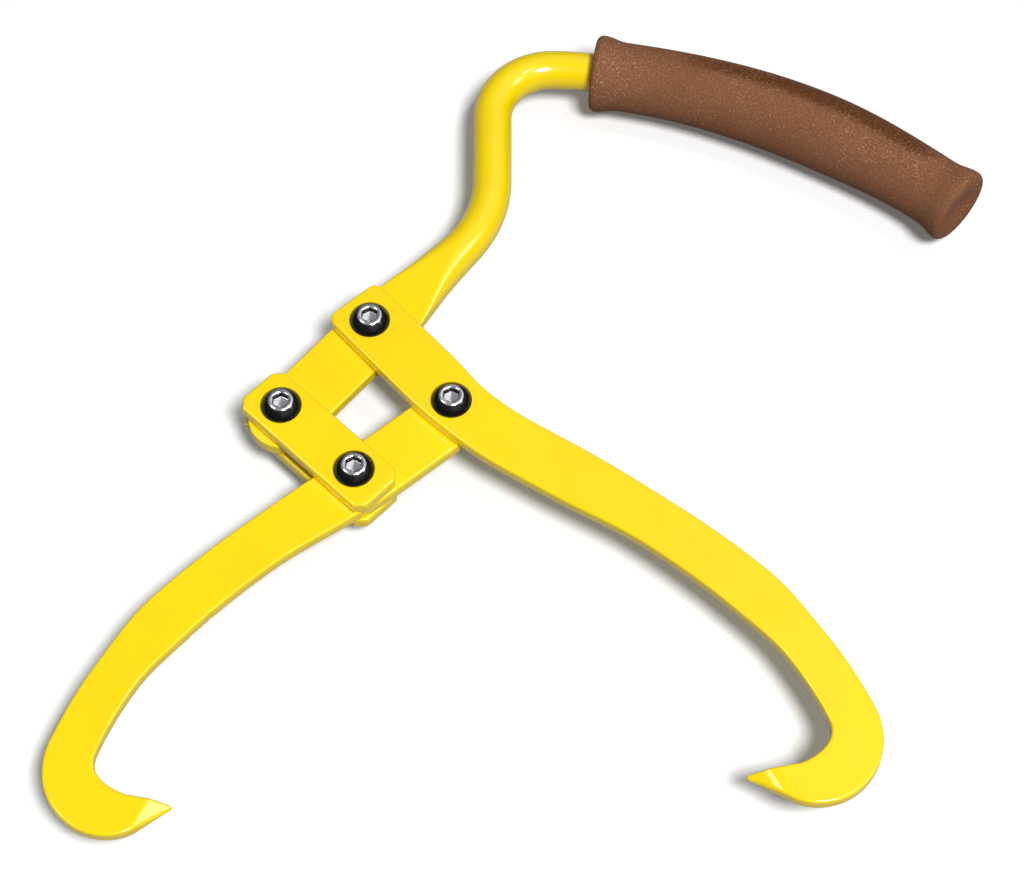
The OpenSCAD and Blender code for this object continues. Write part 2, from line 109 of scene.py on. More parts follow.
def quarterFall(d, radius):
    # How far a quarter circle of that radius has dropped, at the distance d from the end it rounds
    inside = np.clip(radius - d, 0, radius)
    return radius - np.sqrt(radius * radius - inside * inside)


def endSpread(radius, count):
    # Distances from an end that step evenly round a quarter circle of that radius
    return radius * (1 - np.cos(np.linspace(0, np.pi / 2, count)))


def softLower(a, b, soft):
    # The lower of two heights, with the crease between them rounded over about the length soft
    return (a + b - np.sqrt((a - b) ** 2 + soft * soft)) / 2


def carrySection(path, half, low, high, edge, spread, arcSteps):
    # A rounded rectangle carried along a path: it is 2 * half wide across the path, reaches from low to
    # high and has corners of radius edge. Every section has the same points: rows along the two flats,
    # at the shares in spread of the half width, and arcSteps steps round each corner.
    x, y, heading = (v[:, None] for v in path)
    spread = np.array(spread)
    row = np.concatenate([-spread[:0:-1], spread])
    phi = np.linspace(0, np.pi / 2, arcSteps + 1)[1:]
    one, none = np.ones(arcSteps), np.zeros(len(row))
    flat = np.concatenate([row, one, one, row[::-1], -one, -one])
    bulge = np.concatenate([none, np.sin(phi), np.sin(phi[::-1])])
    out = np.concatenate([bulge, -bulge])
    drop = np.concatenate([none, 1 - np.cos(phi), 1 - np.cos(phi[::-1])] * 2)
    upper = np.zeros(len(flat), bool)
    upper[:len(row) + arcSteps] = True
    upper[-arcSteps:] = True
    half, edge = np.reshape(half, (-1, 1)), np.reshape(edge, (-1, 1))
    side = flat * (half - edge) + out * edge
    px = x + side * np.sin(heading)
    py = y - side * np.cos(heading)
    top = high(px, py) if callable(high) else np.reshape(high, (-1, 1))
    pz = np.where(upper, top - drop * edge, np.reshape(low, (-1, 1)) + drop * edge)
    return np.stack([px, py, pz], axis=-1)


def gridPiece(name, rings, looped=False, marks=None):
    # A closed skin over rings of points: quads between neighbouring rings, and either a fan of
    # triangles over each end or, when looped, quads from the last ring back to the first
    count, around = rings.shape[:2]
    index = np.arange(count * around).reshape(count, around)
    following = np.roll(index, -1, axis=0)
    if not looped:
        index, following = index[:-1], following[:-1]
    beside, across = np.roll(index, -1, axis=1), np.roll(following, -1, axis=1)
    quads = np.stack([index, following, across, beside], axis=-1).reshape(-1, 4)
    points = rings.reshape(-1, 3)
    fans = np.zeros((0, 3), int)
    if not looped:
        first = np.arange(around)
        last = first + (count - 1) * around
        hub = count * around
        fans = np.concatenate([
            np.stack([np.roll(first, -1), np.full(around, hub), first], axis=-1),
            np.stack([last, np.full(around, hub + 1), np.roll(last, -1)], axis=-1),
        ])
        points = np.concatenate([points, rings[0].mean(0)[None], rings[-1].mean(0)[None]])
    triangles = np.concatenate([quads[:, [0, 1, 2]], quads[:, [0, 2, 3]], fans])
    a, b, c = (points[triangles[:, i]] for i in range(3))
    if np.einsum("ij,ij->i", a, np.cross(b, c)).sum() < 0:
        quads, fans = quads[:, ::-1], fans[:, ::-1]
    mesh = bpy.data.meshes.new(name)
    mesh.from_pydata((points * mm).tolist(), [], quads.tolist() + fans.tolist())
    if marks is not None:
        values = np.asarray(marks, float)
        if values.ndim == 1:
            values = np.repeat(values[:, None], around, axis=1)
        values = np.concatenate([values.ravel(), np.zeros(len(points) - values.size)])
        if not looped:
            values[-2:] = values[0], values[-3]
        mesh.attributes.new("mark", "FLOAT", "POINT").data.foreach_set("value", values)
    piece = bpy.data.objects.new(name, mesh)
    bpy.context.scene.collection.objects.link(piece)
    return piece


def turned(name, centre, profile, steps, flats=None, looped=True):
    # A profile of (radius, height) turned round an upright axis. With flats, no point lies further out
    # than a hexagon of that width across flats.
    radius, height = np.array(profile, float).T
    angle = np.linspace(0, 2 * np.pi, steps, endpoint=False)
    ring = np.repeat(radius[:, None], steps, axis=1)
    if flats:
        ring = np.minimum(ring, hexEdge(flats, angle))
    rings = np.stack([
        centre[0] + ring * np.cos(angle),
        centre[1] + ring * np.sin(angle),
        np.repeat(height[:, None], steps, axis=1),
    ], axis=-1)
    return gridPiece(name, rings, looped)


def hexEdge(flats, angle):
    # A hexagon's edge is half its width across flats, over the cosine of the angle from a flat's middle
    return flats / 2 / np.cos((angle + np.pi / 6) % (np.pi / 3) - np.pi / 6)


def drill(piece, centres, radius, low, high):
    # Bores cut with the help of plain round rods, which stick out on both sides and are removed again
    rods, spare = [], 2
    for centre in centres:
        profile = [(radius, low - spare), (radius, high + spare)]
        rods.append(turned("rod", centre, profile, 72, looped=False))
        cut = piece.modifiers.new("bore", "BOOLEAN")
        cut.operation = "DIFFERENCE"
        cut.solver = "EXACT"
        cut.object = rods[-1]
    bpy.context.view_layer.update()
    whole = piece.evaluated_get(bpy.context.evaluated_depsgraph_get())
    mesh = bpy.data.meshes.new_from_object(whole)
    piece.modifiers.clear()
    piece.data = mesh
    for rod in rods:
        bpy.data.objects.remove(rod)


def settle(piece, node, body, material, sharp=40):
    # Finish, smooth shading with sharp corners kept, and the piece's place in the frame
    mesh = piece.data
    mesh.materials.clear()
    mesh.materials.append(material)
    mesh.polygons.foreach_set("use_smooth", np.ones(len(mesh.polygons), bool))
    mesh.set_sharp_from_angle(angle=math.radians(sharp))
    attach(piece, body)
    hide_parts(node)
    return piece


# Shader maths

class Value:
    # A socket that can be added, subtracted and multiplied
    def __init__(self, shader, socket):
        self.shader, self.socket = shader, socket

    def maths(self, operation, *values):
        return self.shader.node("ShaderNodeMath", {"operation": operation}, dict(enumerate(values)))

    def __add__(self, other):
        return self.maths("ADD", self, other)

    def __sub__(self, other):
        return self.maths("SUBTRACT", self, other)

    def __rsub__(self, other):
        return self.maths("SUBTRACT", other, self)

    def __mul__(self, other):
        return self.maths("MULTIPLY", self, other)

    __radd__ = __add__
    __rmul__ = __mul__


class Shader:
    def __init__(self, name, world=None):
        self.owner = world or bpy.data.materials.new(name)
        self.owner.use_nodes = True
        self.tree = self.owner.node_tree
        self.tree.nodes.clear()

    def node(self, kind, settings=None, sockets=None, out=0):
        # Any node: its type, its settings, and the values or links of its sockets
        made = self.tree.nodes.new(kind)
        for key, value in (settings or {}).items():
            setattr(made, key, value)
        for key, value in (sockets or {}).items():
            if isinstance(value, Value):
                self.tree.links.new(value.socket, made.inputs[key])
            else:
                made.inputs[key].default_value = value
        return Value(self, made.outputs[out]) if made.outputs else made

    def noise(self, scale, detail=3.0, roughness=0.5):
        place = self.node("ShaderNodeTexCoord", out="Object")
        sockets = {"Vector": place, "Scale": scale, "Detail": detail, "Roughness": roughness}
        return self.node("ShaderNodeTexNoise", None, sockets)

    def between(self, value, low, high):
        # 0 below low, 1 above high and a soft step in between
        sockets = {"Value": value, "From Min": low, "From Max": high}
        return self.node("ShaderNodeMapRange", {"interpolation_type": "SMOOTHSTEP"}, sockets)

    def window(self, value, low, high, soft=0.08):
        # 1 from low to high, falling softly to 0 on both sides
        return self.between(value, low - soft, low) * (1 - self.between(value, high, high + soft))

    def blend(self, share, first, second):
        # The node's sockets 6 and 7 and its output 2 are those for colours
        sockets = {"Factor": share, 6: first, 7: second}
        return self.node("ShaderNodeMix", {"data_type": "RGBA"}, sockets, out=2)

    def bump(self, height, distance, strength):
        sockets = {"Height": height, "Distance": distance, "Strength": strength}
        return self.node("ShaderNodeBump", None, sockets)

    def finish(self, sockets):
        surface = self.node("ShaderNodeBsdfPrincipled", None, sockets)
        self.node("ShaderNodeOutputMaterial", None, {"Surface": surface})
        return self.owner


def colour(red, green, blue):
    # A colour as seen on screen, from 0 to 255, as the linear values that shaders take
    values = np.array([red, green, blue]) / 255
    linear = np.where(values > 0.04045, ((values + 0.055) / 1.055) ** 2.4, values / 12.92)
    return (*map(float, linear), 1.0)


# Finishes

# Below, a noise is its scale, detail and roughness, a range is the two ends of a soft step, and a bump is
# its height in metres and its strength
coatLook = {
    "clean": (255, 225, 0), "deep": (253, 220, 0), "drift": (22.0, 3.0), "driftRange": (0.35, 0.68),
    "dull": (70.0, 5.0, 0.6), "dullRange": (0.5, 0.8), "peel": (1100.0, 1.5), "waves": (160.0, 2.0),
    "peelShare": 0.35, "roughness": 0.16, "dullness": 0.12, "bump": (0.00009, 0.35),
}


def yellowCoat():
    # Powder coat: a faint orange peel, slow drifts of tone and a few duller patches
    look, shader = coatLook, Shader("yellowPowderCoat")
    drift = shader.between(shader.noise(*look["drift"]), *look["driftRange"])
    dull = shader.between(shader.noise(*look["dull"]), *look["dullRange"])
    peel, waves = shader.noise(*look["peel"]), shader.noise(*look["waves"])
    height = peel * look["peelShare"] + waves * (1 - look["peelShare"])
    return shader.finish({
        "Base Color": shader.blend(drift, colour(*look["clean"]), colour(*look["deep"])),
        "Roughness": look["roughness"] + dull * look["dullness"],
        "Specular IOR Level": 0.5,
        "Coat Weight": 0.2,
        "Coat Roughness": 0.12,
        "Normal": shader.bump(height, *look["bump"]),
    })


rubberLook = {
    "base": (133, 87, 59), "warm": (127, 80, 50), "speck": (182, 134, 104), "pit": (108, 67, 43),
    # The edge colour is partly a painted shade on the side turned away from the lamps and partly wear
    "edge": (86, 42, 0), "grain": (1500.0, 3.0, 0.7), "fine": (3200.0, 2.0, 0.6),
    "patch": (45.0, 4.0, 0.6), "patchRange": (0.3, 0.7), "pitRange": (0.51, 0.62), "pitShare": 0.6,
    "speckRange": (0.555, 0.64), "crowd": (28.0, 2.0), "crowdRange": (0.42, 0.62), "crowdLeast": 0.35,
    # Where that painted shade and wear lie: a noise plus the mesh's mark; the same share makes the edge
    # glossier
    "shadeAndWear": (420.0, 5.0, 0.75), "shadeAndWearNoise": 1.1, "shadeAndWearMark": 0.8, "shadeAndWearRange": (0.72, 1.42),
    "roughness": 0.8, "wearGloss": 0.2, "grainShare": 0.6, "bump": (0.00025, 0.55),
}


def brownRubber():
    # Cork-like rubber: slow warm patches, dark pits, a back edge that is darker, partly as painted shade
    # and partly as wear, and a little glossier, and crowds of pale grains
    look, shader = rubberLook, Shader("brownCorkRubber")
    grain, fine = shader.noise(*look["grain"]), shader.noise(*look["fine"])
    patch = shader.between(shader.noise(*look["patch"]), *look["patchRange"])
    tone = shader.blend(patch, colour(*look["base"]), colour(*look["warm"]))
    pits = shader.between(1 - grain, *look["pitRange"]) * look["pitShare"]
    tone = shader.blend(pits, tone, colour(*look["pit"]))
    mark = shader.node("ShaderNodeAttribute", {"attribute_name": "mark"}, out="Fac")
    # Painted shade and wear along the back edge, from a noise and the mesh's mark
    paintedLight = shader.noise(*look["shadeAndWear"]) * look["shadeAndWearNoise"] + mark * look["shadeAndWearMark"]
    paintedLight = shader.between(paintedLight, *look["shadeAndWearRange"])
    tone = shader.blend(paintedLight, tone, colour(*look["edge"]))
    crowd = shader.between(shader.noise(*look["crowd"]), *look["crowdRange"])
    crowd = look["crowdLeast"] + crowd * (1 - look["crowdLeast"])
    tone = shader.blend(shader.between(grain, *look["speckRange"]) * crowd, tone, colour(*look["speck"]))
    height = grain * look["grainShare"] + fine * (1 - look["grainShare"])
    return shader.finish({
        "Base Color": tone,
        "Roughness": look["roughness"] - paintedLight * look["wearGloss"],
        "Specular IOR Level": 0.3,
        "Normal": shader.bump(height, *look["bump"]),
    })


screwLook = {
    # The pale colour is a painted reflection on the flat top and in the socket
    "dome": (10, 10, 11), "paintedShine": (232, 234, 238), "scratch": (900.0, 4.0, 0.65), "scratchShare": 0.15,
    "markRange": (0.35, 0.65), "roughness": 0.07, "scratchRough": 0.1, "bump": (0.00003, 0.4),
}


def blackSteel():
    # Dark polished dome. The flat top, the dome's first rows and the socket's floor and rim get a painted
    # reflection of bright metal, and the socket walls get a painted shade, marked on the mesh
    look, shader = screwLook, Shader("blackPolishedSteel")
    mark = shader.node("ShaderNodeAttribute", {"attribute_name": "mark"}, out="Fac")
    scratch = shader.noise(*look["scratch"])
    share = shader.between(mark + (scratch - 0.5) * look["scratchShare"], *look["markRange"])
    return shader.finish({
        "Base Color": shader.blend(share, colour(*look["dome"]), colour(*look["paintedShine"])),
        "Metallic": share,
        "Roughness": look["roughness"] + scratch * look["scratchRough"],
        "Normal": shader.bump(scratch, *look["bump"]),
    })


zincLook = {
    "clean": (214, 217, 220), "dull": (190, 192, 190), "cloud": (350.0, 4.0, 0.6), "cloudRange": (0.3, 0.7),
    "fine": (2400.0, 2.0), "roughness": 0.24, "cloudRough": 0.16, "bump": (0.00003, 0.4),
}


def zincSteel():
    # Zinc plate: dull clouds and a very fine grain
    look, shader = zincLook, Shader("brightZincSteel")
    cloud = shader.between(shader.noise(*look["cloud"]), *look["cloudRange"])
    return shader.finish({
        "Base Color": shader.blend(cloud, colour(*look["clean"]), colour(*look["dull"])),
        "Metallic": 1.0,
        "Roughness": look["roughness"] + cloud * look["cloudRough"],
        "Normal": shader.bump(shader.noise(*look["fine"]), *look["bump"]),
    })


nylonLook = {
    "clean": (236, 234, 224), "dull": (222, 219, 206), "cloud": (500.0, 3.0), "cloudRange": (0.3, 0.7),
    "roughness": 0.42, "cloudRough": 0.1, "bump": (0.00003, 0.4),
}


def whiteNylon():
    # Off-white nylon with faint clouds
    look, shader = nylonLook, Shader("whiteNylon")
    cloud = shader.between(shader.noise(*look["cloud"]), *look["cloudRange"])
    return shader.finish({
        "Base Color": shader.blend(cloud, colour(*look["clean"]), colour(*look["dull"])),
        "Roughness": look["roughness"] + cloud * look["cloudRough"],
        "Normal": shader.bump(cloud, *look["bump"]),
    })


coat, rubber, screwSteel, zinc, nylon = yellowCoat(), brownRubber(), blackSteel(), zincSteel(), whiteNylon()
print("finishes made")


# Jaws

# The widths change at distances before and after the runs' ends and at shares of the hook's length
jawShape = {
    "kneeRadius": 119, "bowRadius": 288, "bowTurn": 10.7, "sweepRadius": 137, "sweepTurn": 24.3,
    "hookRadius": 17.0, "hookTurn": 122.5,
    "stem": 22.6, "arm": 20.8, "middle": 18.3, "neck": 15.6, "hook": 17.8, "tip": 1.2,
    "stemBefore": 8, "stemAfter": 14, "armBefore": 18, "armAfter": 20, "middleAfter": 4, "neckAfter": 30,
    "neckBefore": 4, "hookFrom": 0.52, "hookTo": 0.58,
    "taperFrom": 0.89, "sinkShare": 0.25, "sinkDepth": 0.07,
    "evenReach": 4.0, "evenBefore": 14, "evenEnd": 8, "evenFade": 6, "clearance": 0.03,
    "corner": 4.0, "edge": 0.9, "rows": [0, 0.2, 0.4, 0.6, 0.8, 0.92, 0.98, 1], "cornerSteps": 4,
    "bluntMost": 0.7, "edgeOfThickness": 0.42, "edgeOfHalf": 0.6, "tipFall": 0.6, "fallMost": 0.35,
    "slope": 8.5, "slopeSkew": 40, "pointThickness": 1.2, "groundZone": 26,
    "nickDepth": 0.3, "nickReach": 0.9,
    "tipZone": 12, "armStep": 1.5, "hookStep": 0.6, "tipStep": 0.3,
}


def jawPiece(name, node, body, place, layer, bores):
    # A flat bar carried along straight runs and arcs, its width and upper face given as functions of the
    # distance along it and of the place
    shape, side, tail = jawShape, place["side"], place["tail"]
    runs = [
        (place["straight"], 0),
        arc(shape["kneeRadius"], side * place["knee"]),
        (place["run"], 0),
        arc(shape["bowRadius"], -side * shape["bowTurn"]),
        arc(shape["sweepRadius"], -side * shape["sweepTurn"]),
        arc(shape["hookRadius"], -side * shape["hookTurn"]),
        (place["point"], 0),
    ]
    heading = math.radians(place["heading"])
    start = (
        place["pivot"][0] - place["shift"] * math.sin(heading),
        place["pivot"][1] + place["shift"] * math.cos(heading),
        heading,
    )
    bow, sweep, hook, full = (pathLength(runs, count) for count in (3, 4, 5, 7))
    bend = runs[5][0]
    widths = [
        (place["straight"] - shape["stemBefore"], shape["stem"]),
        (place["straight"] + shape["stemAfter"], shape["arm"]),
        (bow - shape["armBefore"], shape["arm"]),
        (bow + shape["armAfter"], shape["middle"]),
        (sweep + shape["middleAfter"], shape["middle"]),
        (sweep + shape["neckAfter"], shape["neck"]),
        (hook - shape["neckBefore"], shape["neck"]),
        (hook + bend * shape["hookFrom"], shape["hook"]),
        (hook + bend * shape["hookTo"], shape["hook"]),
    ]
    along = np.unique(np.concatenate([
        -tail + endSpread(shape["edge"], 5),
        -tail + endSpread(shape["corner"], 12),
        np.arange(-tail + shape["corner"], hook, shape["armStep"]),
        np.arange(hook, full - shape["tipZone"], shape["hookStep"]),
        np.arange(full - shape["tipZone"], full - shape["edge"], shape["tipStep"]),
        full - endSpread(shape["edge"], 6),
    ]).round(4))
    # Half the width: a table of eased values, then a straight taper to the point
    taper = hook + bend * shape["taperFrom"]

    def plainHalf(s):
        sunk = ease((s - taper + bend * shape["sinkShare"]) / (bend * shape["sinkShare"]))
        sunk = sunk * shape["sinkDepth"] * (shape["hook"] - shape["tip"])
        wide = easeTable(widths, np.minimum(s, taper)) / 2 - sunk
        return wide + (shape["tip"] / 2 - wide) * np.clip((s - taper) / (full - taper), 0, 1)

    # In the hook it is averaged over a few millimetres either way, so that the edges turn evenly
    shift = np.linspace(-2, 2, 41)[:, None]
    weight = np.exp(-shift ** 2)
    hooked = np.clip((full - shape["evenEnd"] - along) / shape["evenFade"], 0, 1)
    hooked = hooked * np.clip((along - hook + shape["evenBefore"]) / shape["evenFade"], 0, 1)
    half = (plainHalf(along + shift * shape["evenReach"] * hooked) * weight).sum(0) / weight.sum()
    half = half - quarterFall(along + tail, shape["corner"]) - shape["clearance"]
    blunt = quarterFall(full - along, shape["edge"])
    half = half - np.minimum(blunt, half * shape["bluntMost"])
    # The upper face: level, and a sloping plane through the point that is ground off across the skew
    endX, endY, endHeading = (float(v[0]) for v in followPath(runs, start, np.array([full])))
    lean = endHeading + side * math.radians(shape["slopeSkew"])
    reach = shape["slope"] * math.cos(math.radians(shape["slopeSkew"]))
    rise = (layout["plate"] - shape["pointThickness"]) / reach

    def upperFace(x, y):
        back = (endX - x) * math.cos(lean) + (endY - y) * math.sin(lean)
        near = np.hypot(endX - x, endY - y) < shape["groundZone"]
        back = np.where(near, np.maximum(back, 0), shape["groundZone"])
        ground = layer + shape["pointThickness"] + back * rise
        return softLower(layer + layout["plate"], ground, place["crease"])

    path = followPath(runs, start, along)
    if "nick" in place:
        # A dent in the inner edge alone: half its depth comes off the half width, and the middle moves
        # outward by as much
        dent = np.exp(-((along - place["nick"]) / shape["nickReach"]) ** 2)
        dent = dent * shape["nickDepth"] / 2
        half = half - dent
        x, y, turn = path
        path = (x - side * dent * np.sin(turn), y + side * dent * np.cos(turn), turn)
    thick = upperFace(path[0], path[1]) - layer
    edge = np.minimum(shape["edge"], thick * shape["edgeOfThickness"])
    edge = np.minimum(edge, half * shape["edgeOfHalf"])
    fall = quarterFall(along + tail, shape["edge"])
    fall = np.minimum(fall + blunt * shape["tipFall"], thick * shape["fallMost"])

    def roundedFace(x, y):
        return upperFace(x, y) - fall[:, None]

    rings = carrySection(path, half, layer + fall, roundedFace, edge, shape["rows"], shape["cornerSteps"])
    piece = gridPiece(name, rings)
    drill(piece, bores, layout["boreRadius"], layer, layer + layout["plate"])
    return settle(piece, node, body, coat)


rightPlace = {
    "pivot": layout["handlePivot"], "heading": -48.5, "side": 1, "shift": 0.9, "tail": 11.0,
    "straight": 37.5, "knee": 16.6, "run": 35.0, "point": 16.0, "crease": 0.9,
}
leftPlace = {
    "pivot": layout["jawPivot"], "heading": -140.315, "side": -1, "shift": 1.6, "tail": 10.0,
    "straight": 42.5, "knee": 4.2, "run": 12.5, "point": 13.0, "nick": 111.2, "crease": 0.3,
}
jawPiece("rightJaw", "right_jaw", "right_jaw", rightPlace, layout["topLayer"],
         [layout["handlePivot"], layout["jawPivot"]])
jawPiece("leftJaw", "left_jaw", "left_jaw", leftPlace, layout["midLayer"],
         [layout["jawPivot"], layout["jawLink"]])
print("jaws made")


# Links

linkShape = {
    "width": 20.0, "tail": 11.8, "nose": 12.8, "span": 35.5, "cut": 3.2, "cutRound": 0.3, "inset": 5.0,
    "edge": 0.95, "rows": [0, 0.5, 0.9, 0.98, 1], "cornerSteps": 4,
}


def linkPiece(name, node, layer):
    # A strip whose half width grows by a millimetre per millimetre over its cut corners
    shape = linkShape
    first, last = layout["handleLink"], layout["jawLink"]
    heading = math.atan2(last[1] - first[1], last[0] - first[0])
    low, high = -shape["tail"], shape["span"] + shape["nose"]
    cut = shape["cut"] + shape["cutRound"] * np.array([-1, 0, 1])
    inner = np.concatenate([endSpread(shape["edge"], 5), cut])
    between = np.linspace(low + shape["inset"], high - shape["inset"], 16)
    along = np.unique(np.concatenate([low + inner, between, high - inner]).round(4))
    d = np.minimum(along - low, high - along)
    half = shape["width"] / 2 - shape["cut"] + np.minimum(d, shape["cut"])
    fall = quarterFall(d, shape["edge"])
    path = followPath([(shape["span"], 0)], (*first, heading), along)
    edge = np.full(len(along), shape["edge"])
    upper = layer + layout["plate"] - fall
    rings = carrySection(path, half, layer + fall, upper, edge, shape["rows"], shape["cornerSteps"])
    piece = gridPiece(name, rings)
    drill(piece, [first], layout["boreRadius"], layer, layer + layout["plate"])
    drill(piece, [last], layout["looseRadius"], layer, layer + layout["plate"])
    return settle(piece, node, "links", coat)


linkPiece("upperLink", "top_link", layout["topLayer"])
linkPiece("lowerLink", "bottom_link", layout["lowLayer"])
print("links made")


# Handle

# Along the flare u runs from 0 at the flat end to 1 at the round bar
barShape = {
    "round": 14.0, "flatWidth": 23.0, "flatShift": 1.2, "flatTail": 12.8, "arm": 45.0, "heading": 49.5,
    "flatRun": 9.0, "flareLength": 42.0, "edge": 0.9, "facetFrom": 0.12, "facetTo": 0.74, "ridge": 0.9,
    "fadePower": 1.7, "noseExtra": 0.25, "tallFrom": 0.02, "tallOver": 0.6, "squareOver": 0.55,
    "edgeMost": 0.98, "rows": [0, 0.3, 0.6, 0.8, 0.92, 1], "cornerSteps": 16,
    "flatStep": 2.0, "flareStep": 0.7, "roundStep": 1.0, "hiddenStep": 4.0, "shownInGrip": 4.0,
    "runs": [
        (46.5, 0), arc(45, 40.5), (28, 0), arc(22, -91.5), (2, 0), arc(90, -9), (12, 0), arc(238, -90),
    ],
}
# The mouth is given as distances from the grip's start and what the bore widens by there
gripShape = {
    "gap": 14.5, "length": 146.0, "rim": 28.07, "neck": 25.2, "belly": 27.8, "bellyAt": 0.6,
    "flare": 11.0, "denseFlare": 17.6, "rimRound": 2.4, "bore": 14.1, "boreFrom": 1.0,
    "mouth": [(0.35, 0.15), (0.05, 0.6)], "wall": 9.0, "endGap": 0.2, "dimple": 15.0, "dimpleDepth": 1.4,
    "markTurn": 150, "markFrom": 0.3, "markOver": 0.42, "markStart": 10, "markRise": 45, "markEnd": 6,
    "markFall": 20,
}
barHeading = math.radians(barShape["heading"])
barStart = (
    layout["handlePivot"][0] + barShape["flatShift"] * math.sin(barHeading),
    layout["handlePivot"][1] - barShape["flatShift"] * math.cos(barHeading),
    barHeading,
)
gripStart = pathLength(barShape["runs"], 4) + gripShape["gap"]


def handlePiece():
    # A round bar hammered flat: its sides turn round early, and a sloping facet on each face runs out
    # to a point where the bar has its full height
    shape, runs = barShape, barShape["runs"]
    low = -shape["arm"] - shape["flatTail"]
    high = gripStart + gripShape["length"] - gripShape["wall"] - gripShape["endGap"]
    nose, radius, thin = shape["flatWidth"] / 2, shape["round"] / 2, layout["plate"] / 2
    flareEnd, hidden = shape["flatRun"] + shape["flareLength"], gripStart + shape["shownInGrip"]
    along = np.unique(np.concatenate([
        low + endSpread(shape["edge"], 6),
        low + endSpread(nose, 28),
        np.arange(low + nose, shape["flatRun"], shape["flatStep"]),
        np.arange(shape["flatRun"], flareEnd, shape["flareStep"]),
        np.arange(flareEnd, hidden, shape["roundStep"]),
        np.arange(hidden, high, shape["hiddenStep"]),
        [high],
    ]).round(4))
    u = np.clip((along - shape["flatRun"]) / shape["flareLength"], 0, 1)
    half = radius + (nose - radius) * (1 - u) ** shape["fadePower"]
    ahead = np.clip(nose - (along - low), 0, nose)
    half = np.where(along < low + nose, np.sqrt(nose * nose - ahead * ahead) + shape["noseExtra"], half)
    half = np.minimum(half, nose)
    tall = thin + (radius - thin) * ease((u - shape["tallFrom"]) / shape["tallOver"])
    tall = tall - quarterFall(along - low, shape["edge"])
    edge = shape["edge"] + (tall - shape["edge"]) * ease(u / shape["squareOver"])
    edge = np.minimum(edge, np.minimum(tall, half) * shape["edgeMost"])
    facetShare = (u - shape["facetFrom"]) / (shape["facetTo"] - shape["facetFrom"])
    facet = thin + (radius - thin) * np.maximum(facetShare, 0)
    path = followPath(runs, barStart, along)
    middle = layout["barHeight"]
    low, high = middle - tall, middle + tall
    rings = carrySection(path, half, low, high, edge, shape["rows"], shape["cornerSteps"])
    rise = rings[..., 2] - middle
    cut = np.maximum(softLower(np.abs(rise), facet[:, None], shape["ridge"]), 0)
    rings[..., 2] = middle + np.where(u[:, None] > 0, np.sign(rise) * cut, rise)
    piece = gridPiece("handleBar", rings)
    drill(piece, [layout["handlePivot"], layout["handleLink"]], layout["boreRadius"],
          middle - thin, middle + thin)
    return settle(piece, "handle_bar", "handle", coat, 50)


def gripPiece():
    # A closed sleeve: circles round the bar's middle line, out of the bore, over the rim, along the
    # waisted body and round the closed end into its dimple
    shape = gripShape
    length, rim, roundness = shape["length"], shape["rim"] / 2, shape["rimRound"]
    neck, belly, bore = shape["neck"] / 2, shape["belly"] / 2, shape["bore"] / 2
    flare, dense = shape["flare"], shape["denseFlare"]
    table = [
        (roundness, rim), (flare, neck), (length * shape["bellyAt"], belly),
        (length - flare, neck), (length - roundness, rim),
    ]
    turn = np.linspace(0, np.pi / 2, 8)
    inner = np.linspace(length - shape["wall"], shape["boreFrom"], 40)
    mouth, widened = np.array(shape["mouth"]).T
    body = np.unique(np.concatenate([
        np.linspace(roundness, dense, 14),
        np.linspace(dense, length - dense, 80),
        np.linspace(length - dense, length - roundness, 14),
    ]))
    share = np.linspace(1, 0.1, 7)
    where = np.concatenate([
        inner, mouth, roundness * (1 - np.cos(turn[:-1])), body,
        length - roundness + roundness * np.sin(turn[1:]),
        length - shape["dimpleDepth"] * (1 - share ** 2),
    ])
    radii = np.concatenate([
        np.full(len(inner), bore), bore + widened,
        rim - roundness + roundness * np.sin(turn[:-1]), easeTable(table, body),
        rim - roundness + roundness * np.cos(turn[1:]),
        shape["dimple"] / 2 * share,
    ])
    x, y, heading = (v[:, None] for v in followPath(barShape["runs"], barStart, gripStart + where))
    angle = np.linspace(0, 2 * np.pi, 96, endpoint=False)
    out = radii[:, None] * np.cos(angle)
    rings = np.stack([
        x + out * np.sin(heading), y - out * np.cos(heading),
        layout["barHeight"] + radii[:, None] * np.sin(angle),
    ], axis=-1)
    # The mark, partly a painted shade and partly wear, is strong along the outer, upper side of the bend
    # and fades towards both ends
    facing = (np.cos(angle - np.radians(shape["markTurn"])) - shape["markFrom"]) / shape["markOver"]
    middle = ease((where - shape["markStart"]) / shape["markRise"])
    middle = middle * ease((length - shape["markEnd"] - where) / shape["markFall"])
    piece = gridPiece("gripSleeve", rings, marks=middle[:, None] * ease(facing)[None, :])
    return settle(piece, "grip", "handle", rubber, 60)


handlePiece()
gripPiece()
print("handle made")


# Screws, washers and lock nuts

# The socket is a hexagon of the width across its flats. The marks say how much painted reflection the steel
# gets: full on the flat top, the dome's first rows and the socket's floor, softer on the rim's slope,
# little on the socket walls as painted shade, and none on the dome's own black.
screwShape = {
    "head": 7.0, "flat": 3.8, "height": 3.8, "edge": 0.5, "bevel": 0.15, "seatBevel": 0.12, "play": 0.1,
    "shank": 4.0, "fillet": 0.3, "endChamfer": 0.6, "endInset": 0.1,
    "socket": 5.0, "socketDepth": 2.3, "coneShare": 0.45, "coneDepth": 0.35, "floorShare": 0.97,
    "floorRise": 0.12, "wallDrop": 0.45, "rim": 3.15, "rimShare": 0.6, "rimDrop": 0.16, "crestDrop": 0.02,
    # Mark values: a painted reflection at 1 and a softer one on the rim's slope, a painted shade on the
    # socket walls, 0 for the dome's own black
    "crest": 0.12, "paintedShine": 1.0, "paintedLight": 0.8, "paintedSocketShade": 0.15, "dark": 0.0, "endMark": 0.3, "steps": 96,
}
washerShape = {"inner": 4.2, "outer": 8.0, "thickness": 1.6, "edge": 0.25, "corner": 0.3, "steps": 96}
